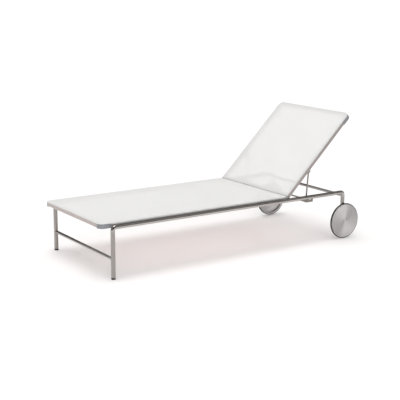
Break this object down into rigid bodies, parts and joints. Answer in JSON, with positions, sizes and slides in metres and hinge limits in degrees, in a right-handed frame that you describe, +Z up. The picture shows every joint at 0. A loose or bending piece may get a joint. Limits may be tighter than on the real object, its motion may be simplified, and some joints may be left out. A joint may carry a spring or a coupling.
{
  "type": "reclining sun lounger",
  "caption": "Low sun lounger with bent steel tube side frames, a white mesh sling seat, a hinged mesh backrest held by a prop rod, and disc wheels at the head end.",
  "frame": {"origin": "on the floor, in the middle of the overall length and width with the backrest raised", "axes": "+X towards the head end, +Y to the right of someone lying on it, +Z up"},
  "size_m": [1.852, 0.777, 0.7947],
  "materials": {
    "brushed_tube": "brushed stainless steel tube, satin",
    "brushed_rail": "brushed stainless steel strip, satin, warm tone",
    "brushed_disc": "turned stainless steel disc, fine circular brushing",
    "steel_small": "plain stainless steel hardware, satin",
    "grey_connector": "moulded grey nylon, fine satin grain",
    "black_plastic": "black moulded plastic, satin",
    "white_plastic": "white nylon bush and cord",
    "mesh_sling": "white open plain-weave coated mesh, slightly translucent",
    "tyre_rubber": "black solid rubber tyre, matt"
  },
  "bodies": {
    "frame": {"side_frame_left": "brushed_tube", "side_frame_right": "brushed_tube", "front_cross_bar": "brushed_tube", "rear_cross_bar": "brushed_tube", "foot_cap_left": "black_plastic", "foot_cap_right": "black_plastic", "rear_leg_plugs": "black_plastic", "seat_side_rail_left": "brushed_rail", "seat_side_rail_right": "brushed_rail", "seat_front_rail": "brushed_rail", "seat_rear_rail": "brushed_rail", "seat_corner_left": "grey_connector", "seat_corner_right": "grey_connector", "seat_end_plugs": "grey_connector", "seat_keder_cords": "white_plastic", "seat_sling": "mesh_sling", "seat_saddle_washers": "black_plastic", "seat_fixing_screws": "steel_small", "hinge_plate_left": "steel_small", "hinge_plate_right": "steel_small", "hinge_plate_screws": "steel_small", "hinge_pins": "steel_small", "notch_bracket_left": "steel_small", "notch_bracket_right": "steel_small", "axle_left": "steel_small", "axle_right": "steel_small", "axle_spacers": "black_plastic", "axle_retainers": "steel_small"},
    "backrest": {"backrest_side_rail_left": "brushed_rail", "backrest_side_rail_right": "brushed_rail", "backrest_top_rail": "brushed_rail", "backrest_bottom_rail": "brushed_rail", "backrest_corner_left": "grey_connector", "backrest_corner_right": "grey_connector", "backrest_keder_cords": "white_plastic", "backrest_sling": "mesh_sling", "hinge_knuckle_left": "grey_connector", "hinge_knuckle_right": "grey_connector", "hinge_bushes": "white_plastic", "prop_lug_left": "steel_small", "prop_lug_right": "steel_small", "prop_pivot_pins": "steel_small"},
    "prop": {"prop_bail": "brushed_tube", "prop_end_caps": "black_plastic"},
    "wheel_left": {"wheel_disc_left": "brushed_disc", "wheel_tyre_left": "tyre_rubber", "hub_bush_left": "white_plastic", "hub_cap_left": "brushed_disc"},
    "wheel_right": {"wheel_disc_right": "brushed_disc", "wheel_tyre_right": "tyre_rubber", "hub_bush_right": "white_plastic", "hub_cap_right": "brushed_disc"}
  },
  "joints": [
    {"name": "backrest_recline", "type": "hinge", "parent": "frame", "child": "backrest", "pos_m": [0.372, 0, 0.305], "axis": [0, -1, 0], "range_deg": [-44.5, 8]},
    {"name": "prop_fold", "type": "hinge", "parent": "backrest", "child": "prop", "pos_m": [0.55924, 0, 0.44974], "axis": [0, -1, 0], "range_deg": [-44.5, 8]},
    {"name": "wheel_spin_left", "type": "hinge", "parent": "frame", "child": "wheel_left", "pos_m": [0.813, -0.381, 0.113], "axis": [0, 1, 0], "continuous": true},
    {"name": "wheel_spin_right", "type": "hinge", "parent": "frame", "child": "wheel_right", "pos_m": [0.813, 0.381, 0.113], "axis": [0, 1, 0], "continuous": true}
  ],
  "couplings": [
    {"joint": "prop_fold", "follows": "backrest_recline", "ratio": 1}
  ]
}
